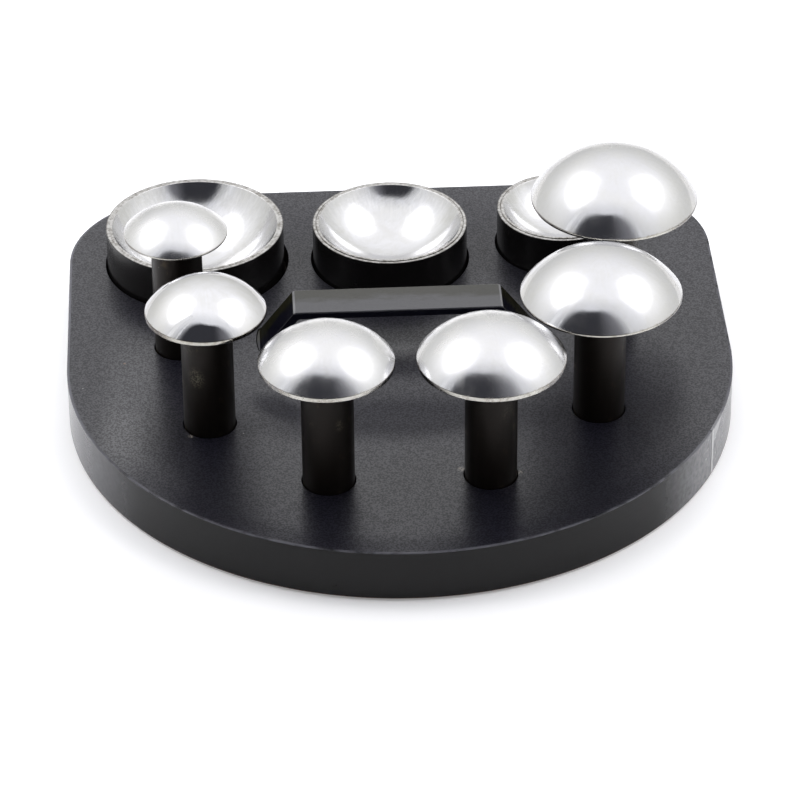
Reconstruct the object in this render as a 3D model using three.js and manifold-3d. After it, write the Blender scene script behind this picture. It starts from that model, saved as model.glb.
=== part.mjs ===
// Doming set for jewellery work: six mushroom stakes and three cupped dies that
// stand in a D-shaped board with a low carrying handle. Millimetres, +Z up.
// The origin is on the table, under the middle of the board's outline.
// The board's round side faces -Y, where the user stands.

import * as THREE from 'three';
import { mergeVertices } from 'three/addons/utils/BufferGeometryUtils.js';
import Module from 'manifold-3d';

const wasm = await Module();
wasm.setup();

// Driving dimensions

// The stakes stand round a ring, and the board is laid out round them: its round
// side is concentric with the ring, and its straight side lies behind the dies.
const ring = {
  firstBearing: 171.3,
  sweep: 206.85,
};

const board = {
  ringMargin: 44,
  rearMargin: 14.7,
  thickness: 21,
  rearCornerRadius: 50,
};

const edgeBand = {
  thickness: 1,
  glueLine: 0.1,
  seamGap: 0.5,
  seamBearing: -26.6,
};

const pad = {
  radius: 10,
  height: 1,
  insetFromEdge: 22,
  frontBearings: [-142, -38],
};

const socket = {
  depth: 16,
  clearance: 0.3,
};

const shank = {
  radius: 10,
  rise: 52.9,
  footChamfer: 1.2,
  spigotRadius: 6,
  spigotLength: 7,
  spigotChamfer: 0.6,
};

const headSeat = {
  clearance: 0.05,
  endGap: 0.4,
  rimChamfer: 0.35,
};

// The stakes, from the rear left round the front to the rear right. short is how much
// lower than shank.rise the head's underside lies above the board, out is how far the
// stake stands off the ring, and gap is the space from its head to the next one.
const stake1 = { short: 0, rim: 20.5, band: 0.8, dome: 9.5, out: -0.1, gap: 12.88 };
const stake2 = { short: 2, rim: 23.3, band: 1.7, dome: 11.8, out: -1.4, gap: 11.8 };
const stake3 = { short: 0.3, rim: 25.8, band: 1.8, dome: 12.9, out: 0.3, gap: 7.67 };
const stake4 = { short: 1, rim: 28.2, band: 1.8, dome: 14.1, out: 0.1, gap: 2.83 };
const stake5 = { short: 0, rim: 31.1, band: 0.9, dome: 16.3, out: -2.1, gap: 5.26 };
const stake6 = { short: 0, rim: 33, band: 1.1, dome: 19, out: 3.5, gap: 0 };
const stakes = [stake1, stake2, stake3, stake4, stake5, stake6];

const die = {
  recessDepth: 8,
  height: 25.2,
  bottomChamfer: 0.8,
  outerLip: 1.1,
  outerLipDrop: 0.35,
  lipGroove: 0.5,
  lipGrooveDepth: 0.5,
  innerLip: 0.9,
};

// The dies, from the left. bowl is the radius of the spherical hollow, play is the
// clearance in the loose recess, frontGap is the space before the recess, and the
// shifts say where the die sits in it.
const die1 = { radius: 36.3, bowl: 38, play: 1.1, frontGap: 15.4, shiftAcross: -0.5, shiftBack: 0.6 };
const die2 = { radius: 31.6, bowl: 34, play: 0.8, frontGap: 18.1, shiftAcross: 0, shiftBack: 0 };
const die3 = { radius: 26.4, bowl: 28, play: 0.7, frontGap: 16.4, shiftAcross: 0, shiftBack: -0.3 };
const dies = [die1, die2, die3];

// How the board's free width is shared out: before, between and after the recesses
const dieGapShares = [0.2137, 0.1353, 0.1652, 0.4858];

const handle = {
  back: 15.6,
  width: 16.6,
  strap: 3.4,
  topRise: 17.7,
  topHalfLength: 41.3,
  baseHalfLength: 55,
  crossRadius: 0.7,
  footReach: 1.3,
  footLength: 19,
  footWidth: 17.6,
  footBulgeRadius: 34,
  footCornerRadius: 2.2,
  footDepth: 8,
  pocketClearance: 0.4,
  footDrop: 0.25,
};

const screw = {
  threadRadius: 2.5,
  threadClearance: 0.25,
  boardClearance: 0.35,
  headRadius: 4.6,
  headHeight: 3.2,
  headRound: 1,
  boreDepth: 6,
  boreClearance: 0.9,
  reachIntoFoot: 5.5,
  tipGap: 0.6,
  driveRadius: 1.45,
  driveDepth: 1.8,
};

// Facet counts
const roundSteps = 40;
const socketSteps = 24;
const screwSteps = 20;
const driveSides = 6;
const domeRings = 7;
const bowlRings = 7;
const cornerSteps = 12;
const frontSteps = 44;
const footSteps = 5;

// Halvings of the range in which the ring's radius is looked for
const halvings = 60;

// How far a cutting solid runs past the face that it opens
const overrun = 1;

// Levels and places worked out from the dimensions

const boardBottom = pad.height;
const boardTop = boardBottom + board.thickness;

// Angle round the ring between two neighbouring stakes, whose heads keep their gap.
function stepRound(stake, next, ringRadius) {
  return 2 * Math.asin((stake.rim + stake.gap + next.rim) / (2 * ringRadius));
}

function sweepRound(ringRadius) {
  let sweep = 0;
  for (let i = 1; i < stakes.length; i += 1) sweep += stepRound(stakes[i - 1], stakes[i], ringRadius);
  return sweep;
}

// The ring's radius is the one at which the heads and their gaps fill its sweep.
function fittedRingRadius() {
  const widest = Math.max(...stakes.map((stake) => stake.rim));
  let low = 2 * widest;
  let high = 2 * stakes.length * widest;
  for (let i = 0; i < halvings; i += 1) {
    const middle = (low + high) / 2;
    if (sweepRound(middle) > THREE.MathUtils.degToRad(ring.sweep)) low = middle;
    else high = middle;
  }
  return high;
}

const ringRadius = fittedRingRadius();
const roundSideRadius = ringRadius + board.ringMargin;

// Places on the board are first measured from the middle of its round side.
function stakePlaces() {
  let bearing = THREE.MathUtils.degToRad(ring.firstBearing);
  return stakes.map((stake, i) => {
    if (i > 0) bearing += stepRound(stakes[i - 1], stake, ringRadius);
    const reach = ringRadius + stake.out;
    return { across: reach * Math.cos(bearing), back: reach * Math.sin(bearing) };
  });
}

function diePlaces(stakeSpots) {
  const recesses = dies.map((entry) => entry.radius + entry.play);
  const freeWidth = 2 * roundSideRadius - 2 * recesses.reduce((sum, radius) => sum + radius, 0);
  const socketRadius = shank.radius + socket.clearance;
  const fronts = [
    stakeSpots[0].back + socketRadius,
    handle.back + handle.width / 2,
    stakeSpots[stakes.length - 1].back + socketRadius,
  ];
  let edge = -roundSideRadius;
  return dies.map((entry, i) => {
    const across = edge + dieGapShares[i] * freeWidth + recesses[i];
    edge = across + recesses[i];
    return { across, back: fronts[i] + entry.frontGap + recesses[i] };
  });
}

const stakeSpots = stakePlaces();
const dieSpots = diePlaces(stakeSpots);
const rearEdges = dies.map((entry, i) => dieSpots[i].back + entry.radius + entry.play);
const rearReach = Math.max(...rearEdges) + board.rearMargin;
const boardDepth = roundSideRadius + rearReach;
const boardBack = boardDepth / 2;
const roundSideMiddle = boardBack - rearReach;

function onBoard(spot) {
  return { x: spot.across, y: roundSideMiddle + spot.back };
}

// Materials

function paint(color, roughness, metalness) {
  return new THREE.MeshStandardMaterial({ color, roughness, metalness });
}

const blackBoard = paint(0x2b2b2e, 0.55, 0);
const blackEdging = paint(0x2e2c2e, 0.4, 0);
const blackHandle = paint(0x232326, 0.3, 0);
const blackedSteel = paint(0x1b1918, 0.45, 0.6);
const polishedSteel = paint(0xd9dadb, 0.12, 1);
const zincSteel = paint(0xa9abae, 0.35, 1);
const blackRubber = paint(0x1a1a1a, 0.9, 0);

// Solids and geometry helpers

function toManifold(geometry) {
  const bare = geometry.clone();
  bare.deleteAttribute('normal');
  bare.deleteAttribute('uv');
  const merged = mergeVertices(bare);
  const vertProperties = new Float32Array(merged.attributes.position.array);
  const triVerts = new Uint32Array(merged.index.array);
  return new wasm.Manifold(new wasm.Mesh({ numProp: 3, vertProperties, triVerts }));
}

function toGeometry(manifold) {
  const mesh = manifold.getMesh();
  const geometry = new THREE.BufferGeometry();
  geometry.setAttribute('position', new THREE.BufferAttribute(new Float32Array(mesh.vertProperties), 3));
  geometry.setIndex(new THREE.BufferAttribute(new Uint32Array(mesh.triVerts), 1));
  geometry.computeVertexNormals();
  return geometry;
}

function cut(geometry, cutters) {
  let solid = toManifold(geometry);
  for (const cutter of cutters) solid = solid.subtract(toManifold(cutter));
  return toGeometry(solid);
}

function join(geometries) {
  let solid = toManifold(geometries[0]);
  for (const other of geometries.slice(1)) solid = solid.add(toManifold(other));
  return toGeometry(solid);
}

// Turns a profile of [radius, height] points, listed upwards, about the Z axis.
function turned(profile, steps = roundSteps) {
  const points = profile.map(([r, z]) => new THREE.Vector2(r, z));
  return new THREE.LatheGeometry(points, steps).rotateX(Math.PI / 2);
}

function raised(shape, low, high, steps = cornerSteps) {
  const settings = { depth: high - low, bevelEnabled: false, curveSegments: steps };
  return new THREE.ExtrudeGeometry(shape, settings).translate(0, 0, low);
}

function cylinder(radius, low, high, x, y, steps = socketSteps) {
  return turned([[0, low], [radius, low], [radius, high], [0, high]], steps).translate(x, y, 0);
}

function named(name, geometry, material) {
  const mesh = new THREE.Mesh(geometry, material);
  mesh.name = name;
  return mesh;
}

// Board: a half-round front, straight sides and a straight back with round corners.
// The outline starts at the seam bearing, so the edge band can begin and end there.

function boardOutline(inset) {
  const radius = roundSideRadius - inset;
  const corner = board.rearCornerRadius - inset;
  const back = boardBack - inset;
  const points = [];
  const arc = (x, y, r, from, to, steps) => {
    for (let i = 0; i <= steps; i += 1) {
      const angle = THREE.MathUtils.degToRad(from + ((to - from) * i) / steps);
      points.push(new THREE.Vector2(x + r * Math.cos(angle), y + r * Math.sin(angle)));
    }
  };
  const seamSteps = Math.max(2, Math.round((-edgeBand.seamBearing / 180) * frontSteps));
  arc(0, roundSideMiddle, radius, edgeBand.seamBearing, 0, seamSteps);
  arc(radius - corner, back - corner, corner, 0, 90, cornerSteps);
  arc(corner - radius, back - corner, corner, 90, 180, cornerSteps);
  arc(0, roundSideMiddle, radius, 180, 360 + edgeBand.seamBearing, frontSteps - seamSteps);
  return points;
}

function footOutline(grow) {
  // Plan of a handle foot about its own middle, its bulged end towards +X.
  const half = handle.footWidth / 2 + grow;
  const end = handle.footLength / 2 + grow;
  const radius = handle.footBulgeRadius + grow;
  const corner = handle.footCornerRadius + grow;
  const swing = Math.asin((half - corner) / radius);
  const shoulder = end - radius + radius * Math.cos(swing);
  const shape = new THREE.Shape();
  shape.moveTo(corner - end, -half);
  shape.lineTo(shoulder - corner, -half);
  shape.quadraticCurveTo(shoulder, -half, shoulder, corner - half);
  shape.absarc(end - radius, 0, radius, -swing, swing, false);
  shape.quadraticCurveTo(shoulder, half, shoulder - corner, half);
  shape.lineTo(corner - end, half);
  shape.quadraticCurveTo(-end, half, -end, half - corner);
  shape.lineTo(-end, corner - half);
  shape.quadraticCurveTo(-end, -half, corner - end, -half);
  return shape;
}

const footMiddle = handle.baseHalfLength + handle.footReach - handle.footLength / 2;
const handleBack = roundSideMiddle + handle.back;
const pocketFloor = boardTop - handle.footDepth - handle.footDrop;

function eachFoot(make) {
  return [-1, 1].map((side) => make(side));
}

function placedFoot(grow, low, high, side) {
  const foot = raised(footOutline(grow), low, high, footSteps);
  if (side < 0) foot.rotateZ(Math.PI);
  return foot.translate(side * footMiddle, handleBack, 0);
}

function makeBoard() {
  const outline = boardOutline(edgeBand.thickness + edgeBand.glueLine);
  outline.pop();
  const slab = raised(new THREE.Shape(outline), boardBottom, boardTop);
  const cutters = [];
  for (const spot of stakeSpots) {
    const { x, y } = onBoard(spot);
    const radius = shank.radius + socket.clearance;
    cutters.push(cylinder(radius, boardTop - socket.depth, boardTop + overrun, x, y));
  }
  dies.forEach((entry, i) => {
    const { x, y } = onBoard(dieSpots[i]);
    const radius = entry.radius + entry.play;
    cutters.push(cylinder(radius, boardTop - die.recessDepth, boardTop + overrun, x, y, roundSteps));
  });
  const pocketTop = boardTop + overrun;
  cutters.push(...eachFoot((side) => placedFoot(handle.pocketClearance, pocketFloor, pocketTop, side)));
  for (const side of [-1, 1]) {
    const x = side * footMiddle;
    const bore = screw.headRadius + screw.boreClearance;
    const through = screw.threadRadius + screw.boardClearance;
    cutters.push(cylinder(bore, boardBottom - overrun, boardBottom + screw.boreDepth, x, handleBack));
    cutters.push(cylinder(through, boardBottom, pocketFloor + overrun, x, handleBack));
  }
  return named('stand_board', cut(slab, cutters), blackBoard);
}

function makeEdgeBand() {
  const outer = boardOutline(0);
  const inner = boardOutline(edgeBand.thickness);
  // The seam is a hair-wide gap: both ends step back along the outline by half of it.
  const backOff = (list) => {
    const first = list[0].clone();
    const last = list[list.length - 1].clone();
    list[0] = first.clone().add(list[1].clone().sub(first).setLength(edgeBand.seamGap / 2));
    const before = list[list.length - 2];
    list[list.length - 1] = last.clone().add(before.clone().sub(last).setLength(edgeBand.seamGap / 2));
    return list;
  };
  const loop = [...backOff(outer), ...backOff(inner).reverse()];
  return named('edge_band', raised(new THREE.Shape(loop), boardBottom, boardTop), blackEdging);
}

// Handle: a low arch with sloping legs, moulded in one with its two feet.

function archProfile() {
  // Outline in the XZ plane, its middle on x = 0 and z = 0 at the board's top face.
  const rise = handle.topRise;
  const top = handle.topHalfLength;
  const base = handle.baseHalfLength;
  const slope = Math.atan2(rise, base - top);
  const sink = handle.footDepth / 2;
  const sinkOut = sink / Math.tan(slope);
  const strapAcross = handle.strap / Math.sin(slope);
  const innerTop = top - handle.strap * Math.tan(slope / 2);
  const innerRise = rise - handle.strap;
  const innerBase = base - strapAcross;
  const shape = new THREE.Shape();
  shape.moveTo(-(base - sinkOut), -sink);
  shape.lineTo(-(innerBase - sinkOut), -sink);
  shape.lineTo(-innerBase, 0);
  shape.lineTo(-innerTop, innerRise);
  shape.lineTo(innerTop, innerRise);
  shape.lineTo(innerBase, 0);
  shape.lineTo(innerBase - sinkOut, -sink);
  shape.lineTo(base - sinkOut, -sink);
  shape.lineTo(base, 0);
  shape.lineTo(top, rise);
  shape.lineTo(-top, rise);
  shape.lineTo(-base, 0);
  shape.closePath();
  return shape;
}

function makeHandle() {
  const round = handle.crossRadius;
  const arch = new THREE.ExtrudeGeometry(archProfile(), {
    depth: handle.width - 2 * round,
    bevelEnabled: true,
    bevelThickness: round,
    bevelSize: round,
    bevelOffset: -round,
    bevelSegments: 2,
  });
  arch.rotateX(Math.PI / 2).translate(0, handleBack + handle.width / 2 - round, boardTop);
  const footTop = boardTop - handle.footDrop;
  const footBottom = footTop - handle.footDepth + handle.footDrop;
  const feet = eachFoot((side) => placedFoot(0, footBottom, footTop, side));
  const pilot = screw.threadRadius + screw.threadClearance;
  const pilotTop = footBottom + screw.reachIntoFoot + screw.tipGap;
  const pilots = [-1, 1].map((side) => {
    return cylinder(pilot, footBottom - overrun, pilotTop, side * footMiddle, handleBack, screwSteps);
  });
  return named('carry_handle', cut(join([arch, ...feet]), pilots), blackHandle);
}

function makeHandleScrews() {
  const headSeatLevel = boardBottom + screw.boreDepth;
  const headLow = headSeatLevel - screw.headHeight;
  const tip = pocketFloor + handle.footDrop + screw.reachIntoFoot;
  const round = screw.headRound;
  const profile = [
    [0, headLow],
    [screw.headRadius - round, headLow],
    [screw.headRadius, headLow + round],
    [screw.headRadius, headSeatLevel],
    [screw.threadRadius, headSeatLevel],
    [screw.threadRadius, tip - screw.threadClearance],
    [screw.threadRadius - screw.threadClearance, tip],
    [0, tip],
  ];
  return [-1, 1].map((side) => {
    const body = turned(profile, screwSteps);
    const driveTop = headLow + screw.driveDepth;
    const drive = cylinder(screw.driveRadius, headLow - overrun, driveTop, 0, 0, driveSides);
    const geometry = cut(body, [drive]).translate(side * footMiddle, handleBack, 0);
    return named(side < 0 ? 'handle_screw_left' : 'handle_screw_right', geometry, zincSteel);
  });
}

function makePads() {
  const reach = roundSideRadius - pad.insetFromEdge;
  const rearX = roundSideRadius - board.rearCornerRadius / 2 - pad.radius / 2;
  const rearY = boardBack - board.rearCornerRadius / 2 - pad.radius / 2;
  const middles = pad.frontBearings.map((bearing) => {
    const angle = THREE.MathUtils.degToRad(bearing);
    return [reach * Math.cos(angle), roundSideMiddle + reach * Math.sin(angle)];
  });
  middles.push([-rearX, rearY], [rearX, rearY]);
  return middles.map(([x, y], i) => {
    return named(`base_pad_${i + 1}`, cylinder(pad.radius, 0, pad.height, x, y), blackRubber);
  });
}

// Stakes: a blacked shank with a turned spigot, pressed into a polished domed head.

function makeShank(stake, i) {
  const foot = boardTop - socket.depth;
  const shoulder = boardTop + shank.rise - stake.short;
  const tip = shoulder + shank.spigotLength;
  const profile = [
    [0, foot],
    [shank.radius - shank.footChamfer, foot],
    [shank.radius, foot + shank.footChamfer],
    [shank.radius, shoulder],
    [shank.spigotRadius, shoulder],
    [shank.spigotRadius, tip - shank.spigotChamfer],
    [shank.spigotRadius - shank.spigotChamfer, tip],
    [0, tip],
  ];
  const { x, y } = onBoard(stakeSpots[i]);
  return named(`stake_${i + 1}_shank`, turned(profile, socketSteps).translate(x, y, 0), blackedSteel);
}

function domeArc(rim, dome, rings) {
  // Points of a spherical cap, from its rim to its crown on the axis.
  const radius = (rim * rim + dome * dome) / (2 * dome);
  const sweep = Math.atan2(rim, radius - dome);
  const points = [];
  for (let i = 0; i <= rings; i += 1) {
    const angle = sweep * (1 - i / rings);
    const r = i === rings ? 0 : radius * Math.sin(angle);
    points.push([r, dome - radius + radius * Math.cos(angle)]);
  }
  return points;
}

function makeHead(stake, i) {
  const under = boardTop + shank.rise - stake.short;
  const bore = shank.spigotRadius + headSeat.clearance;
  const boreTop = under + shank.spigotLength + headSeat.endGap;
  const cap = domeArc(stake.rim, stake.dome, domeRings).map(([r, z]) => [r, under + stake.band + z]);
  const profile = [
    [0, boreTop],
    [bore, boreTop],
    [bore, under],
    [stake.rim - headSeat.rimChamfer, under],
    [stake.rim, under + headSeat.rimChamfer],
    ...cap,
  ];
  const { x, y } = onBoard(stakeSpots[i]);
  return named(`stake_${i + 1}_head`, turned(profile).translate(x, y, 0), polishedSteel);
}

// Dies: a blacked steel drum with a double lip and a polished spherical bowl.

function makeDie(entry, i) {
  const low = boardTop - die.recessDepth;
  const top = low + die.height;
  const grooveOuter = entry.radius - die.outerLip;
  const grooveInner = grooveOuter - die.lipGroove;
  const mouth = grooveInner - die.innerLip;
  const bowlMiddle = top + Math.sqrt(entry.bowl * entry.bowl - mouth * mouth);
  const sweep = Math.asin(mouth / entry.bowl);
  const profile = [
    [0, low],
    [entry.radius - die.bottomChamfer, low],
    [entry.radius, low + die.bottomChamfer],
    [entry.radius, top - die.outerLipDrop],
    [grooveOuter, top - die.outerLipDrop],
    [grooveOuter, top - die.lipGrooveDepth - die.outerLipDrop],
    [grooveInner, top - die.lipGrooveDepth - die.outerLipDrop],
    [grooveInner, top],
    [mouth, top],
  ];
  for (let ringNumber = 1; ringNumber <= bowlRings; ringNumber += 1) {
    const angle = sweep * (1 - ringNumber / bowlRings);
    const r = ringNumber === bowlRings ? 0 : entry.bowl * Math.sin(angle);
    profile.push([r, bowlMiddle - entry.bowl * Math.cos(angle)]);
  }
  const { x, y } = onBoard(dieSpots[i]);
  const geometry = turned(profile).translate(x + entry.shiftAcross, y + entry.shiftBack, 0);
  return named(`die_${i + 1}`, geometry, blackedSteel);
}

const domingSet = new THREE.Group();
domingSet.add(makeBoard(), makeEdgeBand(), makeHandle(), ...makeHandleScrews(), ...makePads());
stakes.forEach((stake, i) => domingSet.add(makeShank(stake, i), makeHead(stake, i)));
dies.forEach((entry, i) => domingSet.add(makeDie(entry, i)));

export default domingSet;
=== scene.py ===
import math

import bmesh
import bpy
from mathutils import Matrix, Vector, noise


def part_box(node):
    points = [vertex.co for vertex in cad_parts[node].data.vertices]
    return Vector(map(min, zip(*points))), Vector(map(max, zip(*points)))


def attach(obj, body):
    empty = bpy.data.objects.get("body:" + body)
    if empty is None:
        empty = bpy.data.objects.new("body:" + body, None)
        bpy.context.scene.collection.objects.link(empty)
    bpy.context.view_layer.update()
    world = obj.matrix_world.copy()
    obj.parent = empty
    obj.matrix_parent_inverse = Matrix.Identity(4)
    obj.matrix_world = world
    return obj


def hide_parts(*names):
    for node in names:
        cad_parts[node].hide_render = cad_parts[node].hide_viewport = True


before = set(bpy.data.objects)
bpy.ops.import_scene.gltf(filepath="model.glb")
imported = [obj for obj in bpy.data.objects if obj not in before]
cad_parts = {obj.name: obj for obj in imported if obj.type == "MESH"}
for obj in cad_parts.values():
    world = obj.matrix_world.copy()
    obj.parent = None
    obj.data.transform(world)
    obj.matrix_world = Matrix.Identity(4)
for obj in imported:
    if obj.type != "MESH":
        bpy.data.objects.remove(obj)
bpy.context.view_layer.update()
scene = bpy.context.scene
mm = 0.001
weld = 0.0005 * mm  # points nearer than this become one
hair = 0.001 * mm  # ends that differ by less than this lie level
sharpTurn = 1  # edges that turn by more than this, in radians, are rounded
print("frame loaded:", len(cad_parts), "nodes")

# Camera, floor and soft light

camera = {
    "place": (-0.0619, -1.387, 0.9463),
    "aim": (-0.0014, -0.0287, 0.022),
    "roll": -0.54,  # degrees
    "lens": 189.1,
    "sensor": 36,
}


def makeCamera():
    data = bpy.data.cameras.new("camera")
    data.lens = camera["lens"]
    data.sensor_width = camera["sensor"]
    data.clip_start = 0.05
    data.clip_end = 100
    eye = bpy.data.objects.new("camera", data)
    scene.collection.objects.link(eye)
    look = Vector(camera["aim"]) - Vector(camera["place"])
    facing = look.to_track_quat("-Z", "Y").to_matrix().to_4x4()
    roll = Matrix.Rotation(math.radians(camera["roll"]), 4, "Z")
    eye.matrix_world = Matrix.Translation(camera["place"]) @ facing @ roll
    scene.camera = eye


def toObject(bm, name):
    mesh = bpy.data.meshes.new(name)
    bm.to_mesh(mesh)
    bm.free()
    made = bpy.data.objects.new(name, mesh)
    scene.collection.objects.link(made)
    return made


# Shader sheets: a Wire is a socket that takes part in sums, a Sheet is the tree it lies on


class Wire:
    def __init__(self, sheet, socket):
        self.sheet = sheet
        self.socket = socket

    def __add__(self, other):
        return self.sheet.sum("ADD", self, other)

    def __radd__(self, other):
        return self.sheet.sum("ADD", other, self)

    def __sub__(self, other):
        return self.sheet.sum("SUBTRACT", self, other)

    def __rsub__(self, other):
        return self.sheet.sum("SUBTRACT", other, self)

    def __mul__(self, other):
        return self.sheet.sum("MULTIPLY", self, other)

    def __rmul__(self, other):
        return self.sheet.sum("MULTIPLY", other, self)

    def __truediv__(self, other):
        return self.sheet.sum("DIVIDE", self, other)

    def __pow__(self, other):
        return self.sheet.sum("POWER", self, other)

    def __abs__(self):
        return self.sheet.sum("ABSOLUTE", self)


class Sheet:
    def __init__(self, tree):
        self.tree = tree
        tree.nodes.clear()

    def add(self, kind, settings=None, values=None, out=0):
        made = self.tree.nodes.new(kind)
        for key, value in (settings or {}).items():
            setattr(made, key, value)
        for key, value in (values or {}).items():
            if isinstance(value, Wire):
                self.tree.links.new(value.socket, made.inputs[key])
            else:
                made.inputs[key].default_value = value
        if isinstance(out, tuple):
            return [Wire(self, made.outputs[name]) for name in out]
        return Wire(self, made.outputs[out]) if made.outputs else None

    def sum(self, operation, first, second=0.0, third=0.0):
        values = {0: first, 1: second, 2: third}
        return self.add("ShaderNodeMath", {"operation": operation}, values)

    def fade(self, value, low, high):  # smooth from 0 at low to 1 at high; low may be the larger
        if low > high:
            return 1 - self.fade(value, high, low)
        values = {"Value": value, "From Min": low, "From Max": high}
        return self.add("ShaderNodeMapRange", {"interpolation_type": "SMOOTHSTEP"}, values)

    def mix(self, factor, first, second):  # colours
        def full(colour):
            return colour if isinstance(colour, Wire) else (*colour, 1)
        settings = {"data_type": "RGBA"}
        return self.add("ShaderNodeMix", settings, {0: factor, 6: full(first), 7: full(second)}, 2)

    def compass(self, x, y, z):  # a direction's height and its bearing from the rear, in degrees
        degree = 180 / math.pi
        return self.sum("ARCSINE", z) * degree, self.sum("ARCTAN2", x, y) * degree

    def past(self, bearing, angle):  # how far a bearing lies past an angle, from -180 to 180
        return self.sum("WRAP", bearing - angle, 180.0, -180.0)

    def millimetres(self, centre=(0, 0, 0), stretch=(1, 1, 1), turn=(0, 0, 0)):
        # object coordinates in millimetres about a centre, squeezed where stretch is above 1
        coords = self.add("ShaderNodeTexCoord", out="Object")
        shift = [-value / mm for value in centre]
        values = {"Vector": coords, "Location": shift, "Scale": (1 / mm,) * 3}
        grid = self.add("ShaderNodeMapping", {}, values)
        if stretch == (1, 1, 1) and turn == (0, 0, 0):
            return grid
        angles = [math.radians(value) for value in turn]
        grid = self.add("ShaderNodeMapping", {}, {"Vector": grid, "Rotation": angles})
        return self.add("ShaderNodeMapping", {}, {"Vector": grid, "Scale": stretch})

    def clouds(self, place, size, detail=3, roughness=0.5, distortion=0):
        # noise from 0 to 1, size in mm
        values = {"Vector": place, "Scale": 1 / size, "Detail": detail, "Roughness": roughness}
        values["Distortion"] = distortion
        return self.add("ShaderNodeTexNoise", {}, values)

    def dots(self, place, size, share, radius, blur=0.25):
        # round specks in a share of the cells of the given size, radius as a part of that size
        cell = {"Vector": place, "Scale": 1 / size}
        distance, colour = self.add("ShaderNodeTexVoronoi", {}, cell, ("Distance", "Color"))
        pick = self.add("ShaderNodeSeparateColor", {}, {0: colour}, "Red")
        disc = self.fade(distance, radius * (1 + blur), radius * (1 - blur))
        return self.sum("LESS_THAN", pick, share) * disc

    def rays(self, x, y, reach, count):  # noise drawn out along the radius
        slowness = 0.012  # how little the noise changes for each mm outward
        place = self.add("ShaderNodeCombineXYZ", {}, {0: x / reach, 1: y / reach, 2: reach * slowness})
        values = {"Vector": place, "Scale": count, "Detail": 4.0, "Roughness": 0.6}
        return self.add("ShaderNodeTexNoise", {}, values)

    def bump(self, height, depth, strength=1):  # depth in mm
        values = {"Height": height, "Distance": depth * mm, "Strength": strength}
        return self.add("ShaderNodeBump", {}, values)

    def split(self, vector):
        return self.add("ShaderNodeSeparateXYZ", {}, {0: vector}, ("X", "Y", "Z"))


def makeMaterial(name, finish, *facts):
    material = bpy.data.materials.new(name)
    material.use_nodes = True
    sheet = Sheet(material.node_tree)
    shader = sheet.add("ShaderNodeBsdfPrincipled", {}, finish(sheet, *facts))
    sheet.add("ShaderNodeOutputMaterial", {}, {"Surface": shader})
    return material


# The light is a white tent: bright cloth on both sides, an open front that stays dark

tent = {
    "wall": 0.95,
    "roof": 1.42,
    # lamps behind the cloth: bearing from the rear in degrees, strength, half width in full light and
    # in all, lowest and highest level in all and in full light between them
    "lamps": ((-68, 3.6, 4, 43, 34, 55, 58, 74), (80, 3.2, 4, 40, 34, 55, 58, 74),
              (-54, 0.35, 5, 44, 10, 44, 52, 84), (74, 0.35, 5, 52, 8, 44, 52, 84)),
    # the open front: a dome of this radius about a point, seen as degrees from that point
    "distance": 0.47,
    "centre": (0, -0.03, 0.085),
    "openingMiddle": -169.5,
    "openingHalfWidth": 51,
    "openingSill": 28,
    "openingTop": 62.8,
    "openingDark": (0.046, 0.047, 0.056),
    "openingGrey": (0.24, 0.24, 0.27),
    "openingFade": (3, 17),  # fades in between these heights, so that the floor stays pale
    "openingShaded": (-12, -45),  # bearings past its middle between which its dark turns grey
    "openingCut": (0.3, -0.15),  # no sheet behind or below these shares of its radius
    "openingSteps": (96, 48),
    "halo": (0.50, 0.52, 0.58),
    "haloReach": 1.7,
    "haloStrength": 0.42,
    "seams": ((-118.5, 1.2, 0.7), (-106.5, 3.5, 0.9), (134, 1.6, 0.6)),  # bearing, half width, strength
    "seamGlow": (1.25, 1.26, 1.3),
    "floorShade": 0.9,
    "floorGlow": 0.165,  # the cloth under the floor lets some light through
    "floorFall": (340, 700),  # how far out in mm the floor starts and ends to fall to its dim shade
    "floorDim": (0.68, 0.672, 0.65),
    "floorHalf": 12,  # metres
}


def makeTent():
    world = bpy.data.worlds.new("tent")
    scene.world = world
    world.use_nodes = True
    sheet = Sheet(world.node_tree)
    x, y, z = sheet.split(sheet.add("ShaderNodeTexCoord", out="Generated"))
    height, bearing = sheet.compass(x, y, z)
    glow = tent["wall"] + sheet.fade(height, 0, 62) * (tent["roof"] - tent["wall"])
    for angle, strength, inner, outer, low, lowFull, highFull, high in tent["lamps"]:
        beam = sheet.fade(abs(sheet.past(bearing, angle)), outer, inner) * strength
        glow = glow + beam * sheet.fade(height, low, lowFull) * sheet.fade(height, high, highFull)
    blue = sheet.fade(height, 8, 50) * 0.045 + 0.988  # the cloth is creamy low down
    white = sheet.add("ShaderNodeCombineColor", {}, {0: glow, 1: glow, 2: glow * blue})
    background = sheet.add("ShaderNodeBackground", {}, {"Color": white, "Strength": 1.0})
    sheet.add("ShaderNodeOutputWorld", {}, {"Surface": background})


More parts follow.
